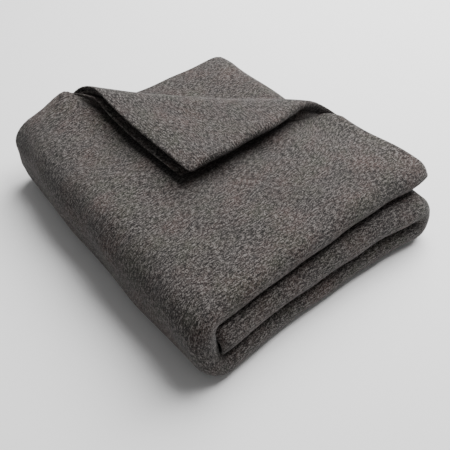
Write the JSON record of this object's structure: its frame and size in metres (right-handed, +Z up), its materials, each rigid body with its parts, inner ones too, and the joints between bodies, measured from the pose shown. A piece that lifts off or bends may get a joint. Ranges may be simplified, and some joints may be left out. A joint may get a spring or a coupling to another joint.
{
  "type": "folded utility blanket",
  "caption": "Grey felted wool utility blanket, folded in thirds into a flat rectangular bundle with one top corner turned back, for storing, carrying or stacking.",
  "frame": {"origin": "centre of the bundle's box, on the surface it lies on", "axes": "+X along the bundle's long side, towards its round side fold; +Y across it, away from the front spine; +Z up"},
  "size_m": [0.4012, 0.3512, 0.1198],
  "materials": {
    "wool": "matte heathered grey felted wool"
  },
  "bodies": {
    "root": {"blanket": "wool"}
  },
  "joints": []
}
